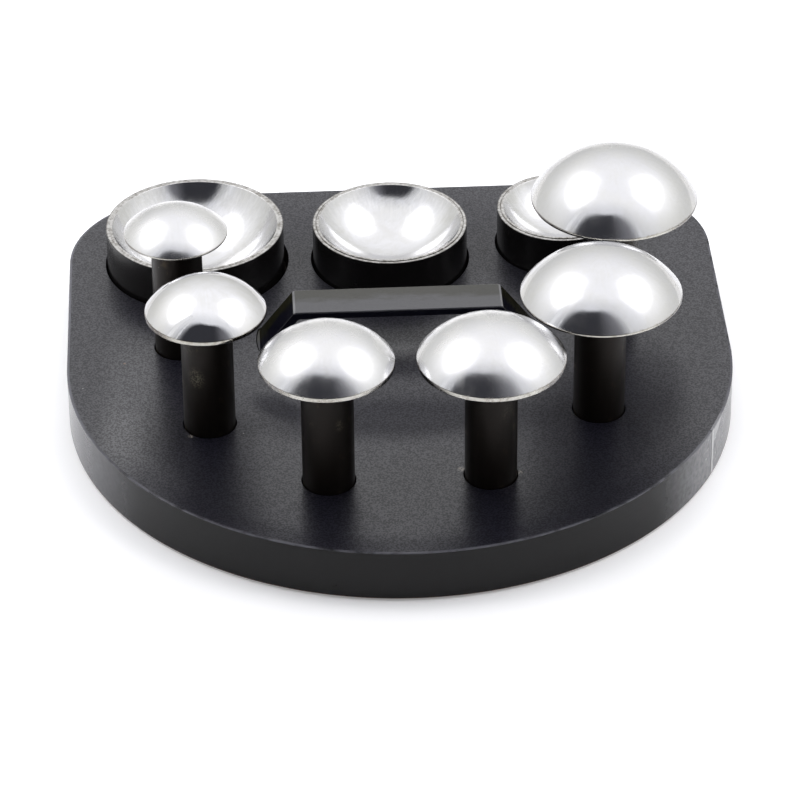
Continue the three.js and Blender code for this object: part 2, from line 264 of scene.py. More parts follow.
def finishOpening(sheet):
    x, y, z = sheet.split(sheet.millimetres(tent["centre"]))
    height, bearing = sheet.compass(x, y, z * (mm / tent["distance"]))
    turned = sheet.past(bearing, tent["openingMiddle"])
    across = abs(turned) / tent["openingHalfWidth"]
    raisedBy = sheet.sum("MAXIMUM", height - tent["openingSill"], 0.0)
    upward = raisedBy / (tent["openingTop"] - tent["openingSill"])
    reach = (across ** 3 + upward ** 3) ** (1 / 3)
    seams = 0.0
    for angle, half, strength in tent["seams"]:
        off = abs(sheet.past(bearing, angle))
        seams = sheet.fade(off, half * 1.5, half * 0.6) * strength + seams
    seams = seams * sheet.fade(reach, 0.7, 0.8) * sheet.fade(upward, 1, 0.8)
    low = sheet.fade(height, *tent["openingFade"])
    around = sheet.fade(reach, tent["haloReach"], 1) * tent["haloStrength"] * low
    softness = 0.07 + (across / reach) ** 3 * 0.12  # its sides are softer than its top
    inside = sheet.fade((reach - 1) / softness, 1, -1) * low
    shaded = sheet.fade(turned, *tent["openingShaded"])
    dark = sheet.mix(shaded, tent["openingDark"], tent["openingGrey"])
    colour = sheet.mix(inside, tent["halo"], dark)
    return {
        "Base Color": (0, 0, 0, 1),
        "Roughness": 1.0,
        "Specular IOR Level": 0.0,
        "Emission Color": sheet.mix(seams, colour, tent["seamGlow"]),
        "Emission Strength": 1.0,
        "Alpha": 1 - (1 - around) * (1 - inside) * (1 - seams),
    }


def makeOpening():  # stands near enough that each head shows it a little differently
    around, upward = tent["openingSteps"]
    behind, below = (share * tent["distance"] for share in tent["openingCut"])
    bm = bmesh.new()
    bmesh.ops.create_uvsphere(bm, u_segments=around, v_segments=upward, radius=tent["distance"])
    spots = [(face, face.calc_center_median()) for face in bm.faces]
    spare = [face for face, spot in spots if spot.y > behind or spot.z < below]
    bmesh.ops.delete(bm, geom=spare, context="FACES")
    bmesh.ops.translate(bm, verts=bm.verts, vec=tent["centre"])
    opening = toObject(bm, "opening")
    opening.visible_camera = False
    opening.data.materials.append(makeMaterial("openFront", finishOpening))


def finishFloor(sheet):
    shade = tent["floorShade"]
    near, far = tent["floorFall"]
    place = sheet.millimetres()
    x, y, z = sheet.split(place)
    grain = sheet.clouds(place, 90, 2)
    colour = sheet.mix(grain, (shade,) * 3, (shade * 1.02,) * 3)
    colour = sheet.mix(sheet.fade((x * x + y * y) ** 0.5, near, far), colour, tent["floorDim"])
    return {
        "Base Color": colour,
        "Roughness": 0.9,
        "Specular IOR Level": 0.2,
        "Emission Color": (1, 1, 1, 1),
        "Emission Strength": tent["floorGlow"],
    }


def makeFloor():
    bm = bmesh.new()
    bmesh.ops.create_grid(bm, x_segments=1, y_segments=1, size=tent["floorHalf"])
    floor = toObject(bm, "floor")
    floor.data.materials.append(makeMaterial("paleFloor", finishFloor))


scene.view_settings.view_transform = "Standard"
makeCamera()
makeTent()
makeOpening()
makeFloor()
print("camera, light and floor made")

# Tools for the pieces


class Pen:
    # a wire drawn point by point, in the XZ plane for a turned shape or in the XY plane for an outline
    def __init__(self, start, axis):
        self.bm = bmesh.new()
        self.axis = Vector(axis)
        self.tip = self.bm.verts.new(start)
        self.start = self.tip
        self.corners = []

    def line(self, point, corner=0):  # corner is the size of the rounding at this point
        made = bmesh.ops.extrude_vert_indiv(self.bm, verts=[self.tip])
        self.tip = made["verts"][0]
        self.tip.co = point
        if corner:
            self.corners.append((self.tip, corner))
        return self

    def arc(self, centre, degrees, steps):
        angle = math.radians(degrees)
        made = bmesh.ops.spin(self.bm, geom=[self.tip], cent=centre, axis=self.axis, angle=angle,
                              steps=steps)
        self.tip = next(item for item in made["geom_last"] if isinstance(item, bmesh.types.BMVert))
        return self

    def close(self):
        self.bm.edges.new((self.tip, self.start))
        return self

    def roundCorners(self, segments=4):
        for vert, size in self.corners:
            bmesh.ops.bevel(self.bm, geom=[vert], offset=size, segments=segments, profile=0.5,
                            affect="VERTICES", material=-1)
        self.corners = []
        return self


def onlyVerts(geom):
    return [item for item in geom if isinstance(item, bmesh.types.BMVert)]


def turnedPen(r, z):
    return Pen((r, 0, z), (0, 1, 0))


def turn(pen, centre, steps):  # spins a profile about the Z axis and moves it to its place
    pen.roundCorners()
    bm = pen.bm
    bmesh.ops.spin(bm, geom=bm.verts[:] + bm.edges[:], cent=(0, 0, 0), axis=(0, 0, 1), angle=math.tau,
                   steps=steps, use_merge=True)
    bmesh.ops.remove_doubles(bm, verts=bm.verts, dist=weld)
    bmesh.ops.translate(bm, verts=bm.verts, vec=(centre[0], centre[1], 0))
    bmesh.ops.recalc_face_normals(bm, faces=bm.faces)
    return bm


def raised(pen, low, high):  # fills a closed outline and pulls it up into a slab
    bm = pen.bm
    face = bmesh.ops.contextual_create(bm, geom=bm.edges[:])["faces"][0]
    bmesh.ops.translate(bm, verts=bm.verts, vec=(0, 0, low - face.verts[0].co.z))
    made = bmesh.ops.extrude_face_region(bm, geom=[face])
    bmesh.ops.translate(bm, verts=onlyVerts(made["geom"]), vec=(0, 0, high - low))
    bmesh.ops.recalc_face_normals(bm, faces=bm.faces)
    return bm


def carve(bm, cutters, operation="DIFFERENCE"):  # cuts or joins with other bodies, one after another
    body = toObject(bm, "body")
    tools = [toObject(cutter, "tool") for cutter in cutters]
    for tool in tools:
        step = body.modifiers.new("carve", "BOOLEAN")
        step.operation = operation
        step.solver = "MANIFOLD"
        step.object = tool
    mesh = bpy.data.meshes.new_from_object(body.evaluated_get(bpy.context.evaluated_depsgraph_get()))
    result = bmesh.new()
    result.from_mesh(mesh)
    for old in [body, *tools]:
        bpy.data.objects.remove(old)
    return result


def dress(bm, name, node, body, material, sharp=30, even=False):
    bmesh.ops.remove_doubles(bm, verts=bm.verts, dist=weld)
    piece = toObject(bm, name)
    piece.data.shade_smooth()
    piece.data.set_sharp_from_angle(angle=math.radians(sharp))
    if even:  # keeps wide flats flat beside narrow roundings
        step = piece.modifiers.new("even", "WEIGHTED_NORMAL")
        step.keep_sharp = True
    piece.data.materials.append(material)
    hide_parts(node)
    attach(piece, body)
    return piece


def middleOf(node):  # centre of a node in plan, with its lowest and highest level
    low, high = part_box(node)
    return (low.x + high.x) / 2, (low.y + high.y) / 2, low.z, high.z


def radiusOf(node):
    low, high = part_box(node)
    return (high.x - low.x) / 2


def roundEdges(bm, edges, size, segments):
    bmesh.ops.bevel(bm, geom=edges, offset=size, segments=segments, profile=0.5, affect="EDGES",
                    material=-1)


# Stakes: blacked shanks and hand-polished heads

stake = {
    "shankSteps": 96,
    "headSteps": 160,
    "domeSteps": 44,
    "spigotRadius": 6 * mm,
    "spigotLength": 7 * mm,
    "footChamfer": 1.2 * mm,
    "rimChamfer": 0.35 * mm,
    "rimRounding": 0.22 * mm,
    # height of the upright band at each head's rim
    "bands": (0.8 * mm, 1.7 * mm, 1.8 * mm, 1.8 * mm, 0.9 * mm, 1.1 * mm),
    "boreClearance": 0.05 * mm,
    "boreGap": 0.4 * mm,  # over the spigot's end
    "waves": 0.018 * mm,
    "waveSize": 9 * mm,
    "rimNicks": 0.02 * mm,
    "nickSize": 4 * mm,
    "rimWidth": 0.6 * mm,
    # each head's roughness, brightness and film of grease
    "finishes": ((0.14, 0.6, 1), (0.035, 0.66, 0), (0.155, 0.6, 1), (0.135, 0.6, 1),
                 (0.075, 0.6, 0.56), (0.08, 0.6, 0.64)),
    "shankBlack": (0.0024, 0.0017, 0.0013),
    "shankWorn": (0.036, 0.029, 0.02),
    "shankRubbed": (0.105, 0.1, 0.07),
    # painted highlight and shade on each head's rim band: light at the front and rear, dark at the
    # sides
    "rimHighlight": (0.50, 0.488, 0.445),
    "rimShade": (0.12, 0.11, 0.105),
    "rimStained": (0.30, 0.265, 0.22),
    "underside": (0.17, 0.16, 0.15),
    # rubbed spots on the shanks: bearing from the front in degrees, height and size in mm, strength
    "rubs": {2: ((-28, 49, 4.6, 1), (-50, 62, 4, 0.4)), 3: ((26, 53, 2.6, 0.5), (-40, 53, 1.6, 0.3)),
             4: ((56, 48, 1.6, 0.8), (36, 56, 4, 0.3)), 5: ((48, 69, 1.5, 1),), 6: ((35, 60, 4, 0.5),)},
}


def finishShank(sheet, centre, radius, rubs):
    place = sheet.millimetres(centre)
    x, y, z = sheet.split(place)
    streaks = sheet.clouds(sheet.millimetres(centre, (1, 1, 0.12)), 2.5, 4, 0.6)
    blotches = sheet.clouds(place, 7, 4, 0.62)
    worn = sheet.fade(blotches + streaks * 0.35, 0.78, 0.95)
    colour = sheet.mix(worn, stake["shankBlack"], stake["shankWorn"])
    fine = sheet.clouds(place, 0.5, 3)
    dings = sheet.dots(place, 7, 0.16, 0.05)
    colour = sheet.mix(dings * 0.5, colour, (0.12, 0.105, 0.09))
    lightened = 0.0
    broken = sheet.fade(sheet.clouds(place, 0.8, 4, 0.7), 0.46, 0.6)
    for bearing, height, size, strength in rubs:
        angle = math.radians(bearing)
        across = x - radius / mm * math.sin(angle)
        along = y + radius / mm * math.cos(angle)
        off = (across * across + along * along + (z - height) * (z - height) * 0.6) ** 0.5
        lightened = sheet.fade(off, size, size * 0.2) * broken * strength + lightened
    colour = sheet.mix(lightened * 0.7, colour, stake["shankRubbed"])
    return {
        "Base Color": colour,
        "Metallic": worn * 0.6,
        "Roughness": 0.28 + streaks * 0.16 - worn * 0.06 + lightened * 0.2,
        "Specular IOR Level": 0.21,
        "Specular Tint": (1, 0.9, 0.84, 1),
        "Normal": sheet.bump(fine * 0.5 + streaks - dings * 2, 0.03),
    }


def finishHead(sheet, centre, radius, under, polish, shine, grease):
    place = sheet.millimetres(centre)
    x, y, z = sheet.split(place)
    rim = radius / mm
    flat = under / mm - centre[2] / mm
    outer = (x * x + y * y) ** 0.5
    strokes = sheet.rays(x, y, outer, 7)  # marks of the buff, from the crown to the rim
    fineStrokes = sheet.rays(x, y, outer, 26)
    around = sheet.add("ShaderNodeCombineXYZ", {}, {0: x / outer * 0.7, 1: y / outer * 0.7, 2: outer})
    rings = sheet.clouds(around, 0.9, 3, 0.6)  # faint lines round the axis
    sweeps = sheet.clouds(sheet.millimetres(centre, (0.2, 2.2, 1), (0, 0, 38)), 1.7, 4, 0.6)
    swirls = sheet.clouds(place, 9, 3, 0.55)
    haze = sheet.fade(swirls + strokes * 0.4, 0.55, 0.85)
    pits = sheet.dots(place, 7, 0.14, 0.035)
    scratches = sheet.clouds(sheet.millimetres(centre, (0.06, 5, 1), (0, 0, -22)), 1.1, 2)
    scratches = sheet.fade(scratches, 0.7, 0.76) * sheet.fade(sheet.clouds(place, 11, 2), 0.5, 0.6)
    bright = (shine, shine, shine * 1.01)
    colour = sheet.mix(haze, bright, (shine * 0.945, shine * 0.94, shine * 0.925))
    colour = sheet.mix(pits, colour, (0.14, 0.13, 0.12))
    rimSide = sheet.fade(outer, rim - 0.3, rim - 0.12)
    # painted highlight and shade: the rim band is light towards the front and rear and dark at the
    # sides
    rimColour = sheet.mix(sheet.fade(abs(x) / rim, 0.45, 0.8), stake["rimHighlight"], stake["rimShade"])
    colour = sheet.mix(rimSide, colour, rimColour)
    rimWear = sheet.fade(outer, rim - 0.6, rim - 0.15)
    rimWear = rimWear * sheet.fade(sheet.clouds(place, 1.8, 4, 0.6), 0.45, 0.66)
    colour = sheet.mix(rimWear * 0.5, colour, stake["rimStained"])
    turned = sheet.fade(z, flat + 0.3, flat + 0.1)
    colour = sheet.mix(turned, colour, stake["underside"])  # left as it was turned
    rough = polish * (0.8 + haze * 0.5 + fineStrokes * 0.5)
    height = strokes * 0.6 + fineStrokes * 0.35 + rings * 0.2 + sweeps * 0.35 + swirls * 0.3
    return {
        "Base Color": colour,
        "Metallic": 1.0,
        "Roughness": rough + rimWear * 0.12 + scratches * 0.08 + turned * 0.3,
        "Specular Tint": (0.72, 0.72, 0.73, 1),
        "Coat Weight": grease * (0.5 + haze),
        "Coat Roughness": 0.3,
        "Coat IOR": 1.8,
        "Normal": sheet.bump(height - pits - scratches * 0.2, 0.02),
    }


def makeShank(number, body):
    node = f"stake_{number}_shank"
    x, y, low, high = middleOf(node)
    radius = radiusOf(node)
    shoulder = high - stake["spigotLength"]
    chamfer = stake["footChamfer"]
    pen = turnedPen(0, low)
    pen.line((radius - chamfer, 0, low), 0.2 * mm).line((radius, 0, low + chamfer), 0.3 * mm)
    for share in (0.25, 0.5, 0.75):  # keeps the long faces near square
        pen.line((radius, 0, low + chamfer + (shoulder - low - chamfer) * share))
    pen.line((radius, 0, shoulder), 0.1 * mm).line((stake["spigotRadius"], 0, shoulder))
    pen.line((stake["spigotRadius"], 0, high), 0.5 * mm).line((0, 0, high))
    bm = turn(pen, (x, y), stake["shankSteps"])
    rubs = stake["rubs"].get(number, ())
    material = makeMaterial(f"blackedShank{number}", finishShank, (x, y, 0), radius, rubs)
    dress(bm, f"shank_{number}", node, body, material, even=True)


def makeHead(number, body):
    node = f"stake_{number}_head"
    x, y, under, crown = middleOf(node)
    rim = radiusOf(node)
    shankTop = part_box(f"stake_{number}_shank")[1].z
    band = stake["bands"][number - 1]
    dome = crown - under - band
    ball = (rim * rim + dome * dome) / (2 * dome)
    sweep = math.degrees(math.asin(rim / ball))
    bore = stake["spigotRadius"] + stake["boreClearance"]
    boreTop = shankTop + stake["boreGap"]
    chamfer = stake["rimChamfer"]
    pen = turnedPen(0, boreTop)
    pen.line((bore, 0, boreTop)).line((bore, 0, under), 0.2 * mm)
    pen.line((rim - chamfer, 0, under), 0.12 * mm).line((rim, 0, under + chamfer), 0.12 * mm)
    pen.line((rim, 0, under + band), stake["rimRounding"])
    pen.arc((0, 0, crown - ball), -sweep, stake["domeSteps"])
    bm = turn(pen, (0, 0), stake["headSteps"])
    middle = Vector((0, 0, crown - ball))
    for vert in bm.verts:  # hand polishing leaves the dome faintly wavy and the rim not quite true
        reach = math.hypot(vert.co.x, vert.co.y)
        if vert.co.z > under + chamfer and reach > bore + mm or vert.co.z > boreTop + mm:
            spot = vert.co / stake["waveSize"] + Vector((number * 7.3, 0, 0))
            vert.co += (vert.co - middle).normalized() * noise.noise(spot) * stake["waves"]
        if reach > rim - stake["rimWidth"]:
            spot = Vector((vert.co.x, vert.co.y, 0)) / stake["nickSize"] + Vector((0, number * 5.1, 0))
            vert.co.x -= vert.co.x / reach * abs(noise.noise(spot)) * stake["rimNicks"]
            vert.co.y -= vert.co.y / reach * abs(noise.noise(spot)) * stake["rimNicks"]
    bmesh.ops.translate(bm, verts=bm.verts, vec=(x, y, 0))
    material = makeMaterial(f"polishedHead{number}", finishHead, (x, y, crown - ball), rim, under,
                            *stake["finishes"][number - 1])
    dress(bm, f"head_{number}", node, body, material)


for number in range(1, 7):
    makeShank(number, f"stake_{number}")
    makeHead(number, f"stake_{number}")
print("stakes made")

# Dies: black drums with a double lip and a polished hollow

die = {
    "steps": 176,
    "bowlSteps": 44,
    "outerLip": 1.2 * mm,
    "outerLipDrops": (0.15 * mm, 0.3 * mm, 0.3 * mm),
    "groove": 0.4 * mm,
    "grooveDepths": (0.08 * mm, 0.3 * mm, 0.25 * mm),
    "grooveDirt": (0.15, 0.8, 0.7),
    "innerLip": 0.9 * mm,
    "bowls": (38.8 * mm, 35 * mm, 28.6 * mm),
    "lipWear": 0.06 * mm,
    "wearSize": 2.5 * mm,
    "black": (0.006, 0.0055, 0.0055),
    "lipDull": (0.24, 0.228, 0.208),
    "lipBright": (0.56, 0.552, 0.535),
    "dirt": (0.075, 0.06, 0.045),
    "bowlBright": (0.635, 0.635, 0.64),
    "bowlHazy": (0.59, 0.587, 0.575),
    "bowlBrushed": (0.42, 0.42, 0.43),
}


def lipRadii(radius):  # where the outer lip and the groove end inward, and the bowl's mouth
    outer = radius - die["outerLip"]
    inner = outer - die["groove"]
    return outer, inner, inner - die["innerLip"]


def finishDie(sheet, centre, radius, top, dirt):
    place = sheet.millimetres(centre)
    x, y, z = sheet.split(place)
    reach = (x * x + y * y) ** 0.5
    rim = radius / mm
    outer, inner, mouth = (value / mm for value in lipRadii(radius))
    high = top / mm - centre[2] / mm
    mottle = sheet.clouds(place, 1.3, 5, 0.68)
    coarse = sheet.clouds(place, 5, 3, 0.6)
    smudge = sheet.clouds(place, 10, 4, 0.6, 0.8)
    # bare steel: everything above the drum's foot that is inside its wall
    bowl = sheet.fade(reach, mouth + 0.02, mouth - 0.03) * sheet.fade(z, 1.2, 1.4)
    lip = sheet.fade(z, high - 0.75, high - 0.6) * sheet.fade(reach, rim - 0.02, rim - 0.12)
    lip = lip * (1 - bowl)
    ragged = reach + (mottle - 0.5) * 0.7  # the groove's edges are broken and partly filled
    groove = sheet.fade(ragged, inner - 0.1, inner + 0.12)
    groove = groove * sheet.fade(ragged, outer + 0.1, outer - 0.12)
    filled = sheet.fade(coarse, 0.36, 0.56)
    blacked = sheet.fade(mottle + coarse * 0.5, 0.95, 0.6)
    lipColour = sheet.mix(blacked, die["lipDull"], die["lipBright"])
    lipColour = sheet.mix(groove * filled * dirt, lipColour, die["dirt"])
    edge = sheet.fade(reach, rim - 0.5, rim - 0.2) * sheet.fade(mottle, 0.25, 0.5)
    lipColour = sheet.mix(edge * 0.8, lipColour, (0.07, 0.065, 0.06))
    rubs = sheet.clouds(sheet.millimetres(centre, (0.2, 2.2, 1), (0, 0, -30)), 1.7, 4, 0.6)
    haze = sheet.fade(smudge + rubs * 0.3, 0.5, 0.82)
    bowlColour = sheet.mix(haze, die["bowlBright"], die["bowlHazy"])
    pits = sheet.dots(place, 6, 0.2, 0.05)
    bowlColour = sheet.mix(pits, bowlColour, (0.10, 0.09, 0.085))
    drumWear = sheet.fade(sheet.clouds(place, 6, 5, 0.65), 0.68, 0.8)
    drumColour = sheet.mix(drumWear * 0.5, die["black"], (0.05, 0.045, 0.04))
    fans = sheet.rays(x, y, reach, 8)
    fineFans = sheet.rays(x, y, reach, 30)
    brushed = sheet.fade(fineFans * 0.5 + fans * 0.5, 0.42, 0.6)
    brushed = brushed * sheet.fade(reach, mouth * 0.35, mouth * 0.9)
    bowlColour = sheet.mix(brushed * 0.2, bowlColour, die["bowlBrushed"])
    colour = sheet.mix(lip, sheet.mix(bowl, drumColour, bowlColour), lipColour)
    bare = bowl + lip * (1 - groove * filled * dirt * 0.8)
    roughBare = 0.08 + haze * 0.05 + brushed * 0.04 + lip * 0.2
    bowlHeight = rubs + fans * 0.7 + fineFans * 0.3 + smudge - pits * 2
    return {
        "Base Color": colour,
        "Metallic": bare,
        "Roughness": roughBare * bare + (0.2 + coarse * 0.1) * (1 - bare),
        "Specular IOR Level": 0.28,
        "Normal": sheet.bump(bowlHeight * bowl * 0.5 + mottle * (1 - bowl), 0.03),
    }


def makeDie(number, body):
    node = f"die_{number}"
    x, y, low, top = middleOf(node)
    radius = radiusOf(node)
    ball = die["bowls"][number - 1]
    outer, inner, mouth = lipRadii(radius)
    lipTop = top - die["outerLipDrops"][number - 1]
    grooveFloor = lipTop - die["grooveDepths"][number - 1]
    middle = top + math.sqrt(ball * ball - mouth * mouth)
    sweep = math.degrees(math.asin(mouth / ball))
    pen = turnedPen(0, low)
    pen.line((radius, 0, low), 0.7 * mm)
    for share in (0.35, 0.7):
        pen.line((radius, 0, low + (lipTop - low) * share))
    pen.line((radius, 0, lipTop), 0.16 * mm).line((outer, 0, lipTop), 0.03 * mm)
    pen.line((outer, 0, grooveFloor), 0.03 * mm).line((inner, 0, grooveFloor), 0.03 * mm)
    pen.line((inner, 0, top), 0.1 * mm).line((mouth, 0, top), 0.14 * mm)
    pen.arc((0, 0, middle), sweep, die["bowlSteps"])
    bm = turn(pen, (0, 0), die["steps"])
    for vert in bm.verts:  # the lips are worn by hammering
        reach = math.hypot(vert.co.x, vert.co.y)
        if vert.co.z > top - 1.2 * mm and reach > mouth - 0.3 * mm:
            spot = Vector((vert.co.x, vert.co.y, reach * 3)) / die["wearSize"]
            spot += Vector((0, 0, number * 3.7))
            vert.co.z -= abs(noise.noise(spot)) * die["lipWear"]
    bmesh.ops.translate(bm, verts=bm.verts, vec=(x, y, 0))
    material = makeMaterial(f"dieSteel{number}", finishDie, (x, y, low), radius, top,
                            die["grooveDirt"][number - 1])
    dress(bm, node + "_turned", node, body, material, even=True)


for number in range(1, 4):
    makeDie(number, f"die_{number}_body")
print("dies made")

# Board: a thick black slab, its front round, with an edge band round it

board = {
    "rearCorner": 50 * mm,
    "bandThickness": 1 * mm,
    "frontSteps": 180,
    "cornerSteps": 48,
    "holeRounding": 0.25 * mm,
    "socketClearance": 0.3 * mm,
    "socketDepth": 16 * mm,
    "recessDepth": 8 * mm,
    "recessPlay": (1.1 * mm, 0.8 * mm, 0.7 * mm),
    "recessShift": ((-0.5 * mm, 0.6 * mm), (0, 0), (0, -0.3 * mm)),
    "seamBearing": -26.6,
    # chips in the facing: place and size in mm
    "chips": ((19.6, -77, 1.9), (41.4, -80.6, 1.8), (-83.4, -48.6, 1.4), (12, 128.6, 1),
              (-27, 45.5, 0.8)),
    # soft patches where the gloss is dulled in some and raised in others, partly from wear and buffing
    # and partly painted shade and sheen that stand in for reflections: centre and half size in mm,
    # turn, change of gloss
    "patches": ((-74, -68, 21, 66, 0, -0.5), (-2, -41, 72, 19, 0, -0.62), (-49, -31, 17, 9, -42, -0.7),
                (72, -66, 38, 72, 0, -0.52), (100, -22, 14, 34, 0, -0.4), (-31, -102, 13, 24, 0, -0.5),
                (30, -108, 14, 22, 0, -0.55), (0, 88, 90, 44, 0, -0.28), (-104, -30, 18, 74, 0, 0.4),
                (-110, -52, 12, 32, 0, 0.25), (0, -4, 34, 18, 0, 1)),
    "black": (0.0035, 0.0034, 0.0062),
    "sparkle": (0.0078, 0.0075, 0.0135),
    "chipped": (0.30, 0.27, 0.23),
    "core": (0.02, 0.015, 0.011),
}

boardLow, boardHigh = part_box("edge_band")
halfWidth = boardHigh.x
roundMiddle = boardLow.y + halfWidth
boardBack = boardHigh.y


def boardOutline(inset, startBearing, gap=0):
    # from a bearing on the round side, round the rear and back to the same bearing, less a gap
    reach = halfWidth - inset
    corner = board["rearCorner"] - inset
    angle = math.radians(startBearing)
    pen = Pen((reach * math.cos(angle), roundMiddle + reach * math.sin(angle), 0), (0, 0, 1))
    firstSteps = round(board["frontSteps"] * -startBearing / 180)
    pen.arc((0, roundMiddle, 0), -startBearing, firstSteps)
    rear = boardBack - board["rearCorner"]
    side = halfWidth - board["rearCorner"]
    pen.line((reach, rear, 0)).arc((side, rear, 0), 90, board["cornerSteps"])
    pen.line((-side, rear + corner, 0)).arc((-side, rear, 0), 90, board["cornerSteps"])
    pen.line((-reach, roundMiddle, 0))
    pen.arc((0, roundMiddle, 0), 180 + startBearing - gap, board["frontSteps"] - firstSteps)
    return pen


def outwardReach(spot):  # how far out a point lies, measured like the board's outline
    corner = board["rearCorner"]
    if spot.y < roundMiddle:
        return math.hypot(spot.x, spot.y - roundMiddle)
    past = Vector((max(abs(spot.x) - halfWidth + corner, 0), max(spot.y - boardBack + corner, 0)))
    return halfWidth - corner + (past.length if past.x and past.y else max(past))


def holeCutter(radius, floor, top, x, y, steps):
    flare = board["holeRounding"]
    pen = turnedPen(0, floor)
    pen.line((radius, 0, floor)).line((radius, 0, top - flare)).line((radius + flare, 0, top))
    pen.line((radius + flare + mm, 0, top + mm)).line((0, 0, top + mm))
    return turn(pen, (x, y), steps)


def finishBoard(sheet):
    place = sheet.millimetres()
    x, y, z = sheet.split(place)
    grain = sheet.clouds(place, 0.68, 2, 0.5)
    pebble = sheet.clouds(place, 0.9, 2, 0.5)
    clouds = sheet.clouds(place, 45, 3, 0.5)
    scuffs = sheet.clouds(sheet.millimetres((0, 0, 0), (0.12, 4, 1), (0, 0, 25)), 1.6, 2, 0.5)
    scuffs = sheet.fade(scuffs, 0.72, 0.8) * sheet.fade(sheet.clouds(place, 22, 2), 0.5, 0.62)
    dust = sheet.dots(place, 9, 0.14, 0.03)
    brown = sheet.dots(sheet.millimetres((0.003, 0.004, 0)), 23, 0.2, 0.022)
    chipped = 0.0
    torn = sheet.fade(sheet.clouds(place, 0.7, 3, 0.6), 0.42, 0.56)
    for across, back, size in board["chips"]:
        off = ((x - across) * (x - across) + (y - back) * (y - back)) ** 0.5
        chipped = sheet.fade(off, size, size * 0.4) * torn + chipped
    sparkle = sheet.fade(grain, 0.4, 0.6)
    colour = sheet.mix(sparkle, board["black"], board["sparkle"])
    colour = sheet.mix(scuffs * 0.12, colour, (0.10, 0.10, 0.11))
    colour = sheet.mix(dust * 0.7, colour, (0.30, 0.29, 0.28))
    colour = sheet.mix(brown * 0.7, colour, (0.16, 0.09, 0.045))
    colour = sheet.mix(chipped * 0.8, colour, board["chipped"])
    gloss = 0.395 + sparkle * 0.335
    # partly wear and partly painted shade and sheen: the gloss is changed in soft patches
    for across, back, wide, deep, angle, change in board["patches"]:
        sine, cosine = math.sin(math.radians(angle)), math.cos(math.radians(angle))
        along = ((x - across) * cosine + (y - back) * sine) / wide
        aside = ((y - back) * cosine - (x - across) * sine) / deep
        gloss = gloss * (1 + sheet.fade((along * along + aside * aside) ** 0.5, 1.1, 0.35) * change)
    fromMiddle = (x * x + (y - roundMiddle / mm) * (y - roundMiddle / mm)) ** 0.5
    frontRim = sheet.fade(fromMiddle, halfWidth / mm - 14, halfWidth / mm - 5)
    frontRim = frontRim * sheet.fade(y, -50, -85)
    gloss = gloss * (1 - frontRim * 0.35)
    middle = (boardLow.z + boardHigh.z) / 2 / mm
    half = middle - boardLow.z / mm
    facing = sheet.fade(abs(z - middle), half - 0.35, half - 0.2)
    colour = sheet.mix(facing, board["core"], colour)
    return {
        "Base Color": colour,
        "Roughness": 0.45 + clouds * 0.06 + scuffs * 0.05,
        "IOR": 1.2,
        "Specular Tint": (0.93, 0.91, 1, 1),
        "Coat Weight": facing * gloss,
        "Coat Roughness": 0.28,
        "Coat IOR": 1.8,
        "Normal": sheet.bump(grain + pebble * 0.7 + dust * 0.3 + chipped * 0.3, 0.085),
    }


def makeBoard():
    low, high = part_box("stand_board")
    pen = boardOutline(board["bandThickness"], board["seamBearing"])
    bmesh.ops.remove_doubles(pen.bm, verts=pen.bm.verts, dist=0.01 * mm)  # joins the outline's two ends
    slab = raised(pen, low.z, high.z)
    cutters = []
    for number in range(1, 7):
        node = f"stake_{number}_shank"
        x, y = middleOf(node)[:2]
        radius = radiusOf(node) + board["socketClearance"]
        floor = high.z - board["socketDepth"]
        cutters.append(holeCutter(radius, floor, high.z, x, y, stake["shankSteps"]))
    for number in range(1, 4):
        node = f"die_{number}"
        x, y = middleOf(node)[:2]
        across, back = board["recessShift"][number - 1]
        radius = radiusOf(node) + board["recessPlay"][number - 1]
        floor = high.z - board["recessDepth"]
        cutters.append(holeCutter(radius, floor, high.z, x - across, y - back, die["steps"]))
    cutters += handlePockets(high.z)
    bm = carve(slab, cutters)
    material = makeMaterial("blackFacing", finishBoard)
    dress(bm, "board_slab", "stand_board", "stand", material)


# Carrying handle: a low arch in one moulding with its two feet

handle = {
    "strap": 3.4 * mm,
    "topHalf": 41.3 * mm,
    "baseHalf": 55 * mm,
    "rounding": 0.4 * mm,
    "crease": 0.7 * mm,
    "footLength": 19 * mm,
    "footWidth": 17.6 * mm,
    "strapInset": 1 * mm,  # how much narrower the arch is than its feet
    "footBulge": 34 * mm,
    "footCorner": 2.2 * mm,
    "footDepth": 8 * mm,
    "footDrop": 0.25 * mm,
    "pocketClearance": 0.4 * mm,
    "boreRadius": 5.5 * mm,
    "boreDepth": 6 * mm,
    "screwRadius": 2.85 * mm,
    "black": (0.0045, 0.0045, 0.0095),
    "dulled": (0.013, 0.0125, 0.0065),
    # painted highlight for the glints on the creases and the top's front lip
    "lightened": (0.13, 0.13, 0.14),
}

handleLow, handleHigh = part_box("carry_handle")
handleBack = (handleLow.y + handleHigh.y) / 2
footMiddle = handleHigh.x - handle["footLength"] / 2


def footOutline(grow, side):
    half = handle["footWidth"] / 2 + grow
    end = handle["footLength"] / 2 + grow
    bulge = handle["footBulge"] + grow
    corner = handle["footCorner"] + grow
    swing = math.asin((half - corner * 0.5) / bulge)
    shoulder = end - bulge + bulge * math.cos(swing)
    pen = Pen((shoulder, -half, 0), (0, 0, 1))
    pen.start.co.y = -bulge * math.sin(swing)
    pen.arc((end - bulge, 0, 0), math.degrees(2 * swing), 24)
    pen.line((shoulder - corner * 0.5, half, 0), corner * 0.4)
    pen.line((-end, half, 0), corner * 0.7).line((-end, -half, 0), corner * 0.7)
    pen.line((shoulder - corner * 0.5, -half, 0), corner * 0.4)
    pen.close().roundCorners(6)
    if side < 0:
        halfTurn = Matrix.Rotation(math.pi, 3, "Z")
        bmesh.ops.rotate(pen.bm, verts=pen.bm.verts, cent=(0, 0, 0), matrix=halfTurn)
    bmesh.ops.translate(pen.bm, verts=pen.bm.verts, vec=(side * footMiddle, handleBack, 0))
    return pen


